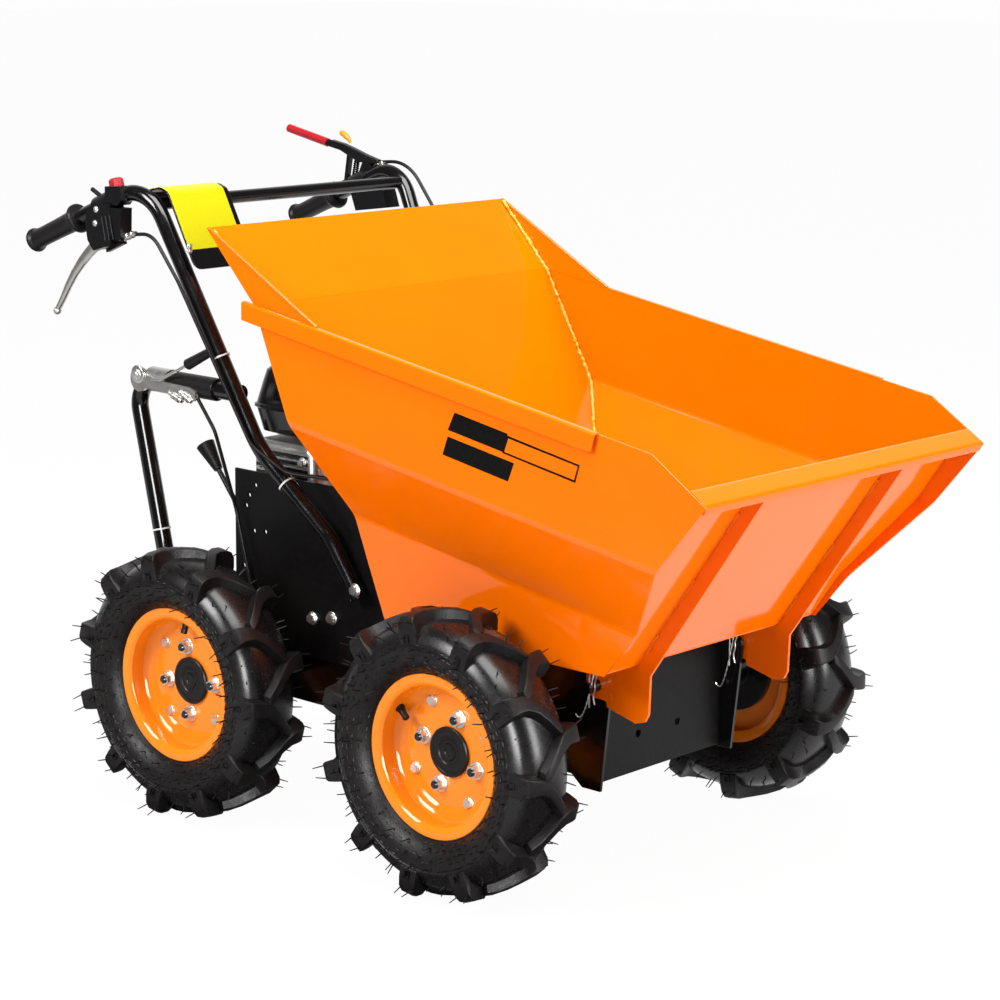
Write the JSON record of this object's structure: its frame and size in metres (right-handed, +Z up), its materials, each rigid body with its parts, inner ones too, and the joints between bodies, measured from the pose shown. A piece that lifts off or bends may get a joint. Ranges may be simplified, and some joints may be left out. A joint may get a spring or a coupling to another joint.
{
  "type": "motorized dumper",
  "caption": "Walk-behind motorized mini dumper on lug tyres, with a forward-tipping steel tub, an engine bay behind it and a pair of handlebars.",
  "frame": {"origin": "on the ground, under the middle of the machine's box", "axes": "+X forward over the tub's lip, +Y to the machine's left, +Z up"},
  "size_m": [1.3751, 0.76, 0.9798],
  "materials": {
    "orange_paint": "glossy powder coat",
    "black_paint": "glossy black paint",
    "tyre_rubber": "moulded tyre rubber, slightly shiny",
    "grip_rubber": "moulded rubber",
    "black_plastic": "moulded nylon",
    "red_plastic": "moulded plastic",
    "yellow_plate": "bright yellow plate",
    "bright_steel": "zinc-plated steel",
    "engine_casting": "cast aluminium"
  },
  "bodies": {
    "frame": {"frame_sides": "black_paint", "front_plate": "black_paint", "tub_rest_bar": "black_paint", "engine_deck": "black_paint", "engine_bay_sides": "black_paint", "front_axle_housing": "black_paint", "rear_axle_housing": "black_paint", "handlebar_right": "black_paint", "handlebar_left": "black_paint", "handlebar_crossbar": "black_paint", "console_bracket": "black_paint", "engine_guard_tubes": "black_paint", "hinge_pins": "black_paint", "fuel_tank": "black_paint", "drive_shaft": "bright_steel", "tub_release_lever": "bright_steel", "brake_lever": "engine_casting", "release_lever_clamp": "engine_casting", "exhaust_guard": "engine_casting", "engine_block": "engine_casting", "recoil_starter": "engine_casting", "console_plate": "yellow_plate", "handlebar_grips": "grip_rubber", "control_cables": "grip_rubber", "right_control_housing": "black_plastic", "left_control_housing": "black_plastic", "clutch_lever_perch": "black_plastic", "clutch_lever": "black_plastic", "gear_lever": "black_plastic", "air_filter_housing": "black_plastic", "kill_switch": "red_plastic", "clutch_lever_sleeve": "red_plastic"},
    "tub": {"tub_side_right": "orange_paint", "tub_side_left": "orange_paint", "tub_floor": "orange_paint", "tub_front_panel": "orange_paint", "tub_rear_wall": "orange_paint", "tub_spill_guard": "orange_paint", "tub_ribs_with_hinge_ears": "orange_paint"},
    "wheel_front_right": {"tyre_front_right": "tyre_rubber", "rim_front_right": "orange_paint", "hub_front_right": "black_paint"},
    "wheel_front_left": {"tyre_front_left": "tyre_rubber", "rim_front_left": "orange_paint", "hub_front_left": "black_paint"},
    "wheel_rear_right": {"tyre_rear_right": "tyre_rubber", "rim_rear_right": "orange_paint", "hub_rear_right": "black_paint"},
    "wheel_rear_left": {"tyre_rear_left": "tyre_rubber", "rim_rear_left": "orange_paint", "hub_rear_left": "black_paint"}
  },
  "joints": [
    {"name": "wheel_front_right_spin", "type": "hinge", "parent": "frame", "child": "wheel_front_right", "pos_m": [0.258, -0.325, 0.204], "axis": [0, 1, 0], "continuous": true},
    {"name": "wheel_front_left_spin", "type": "hinge", "parent": "frame", "child": "wheel_front_left", "pos_m": [0.258, 0.325, 0.204], "axis": [0, 1, 0], "continuous": true},
    {"name": "wheel_rear_right_spin", "type": "hinge", "parent": "frame", "child": "wheel_rear_right", "pos_m": [-0.274, -0.325, 0.204], "axis": [0, 1, 0], "continuous": true},
    {"name": "wheel_rear_left_spin", "type": "hinge", "parent": "frame", "child": "wheel_rear_left", "pos_m": [-0.274, 0.325, 0.204], "axis": [0, 1, 0], "continuous": true},
    {"name": "tub_tip", "type": "hinge", "parent": "frame", "child": "tub", "pos_m": [0.381, 0, 0.29], "axis": [0, 1, 0], "range_deg": [0, 75]}
  ]
}
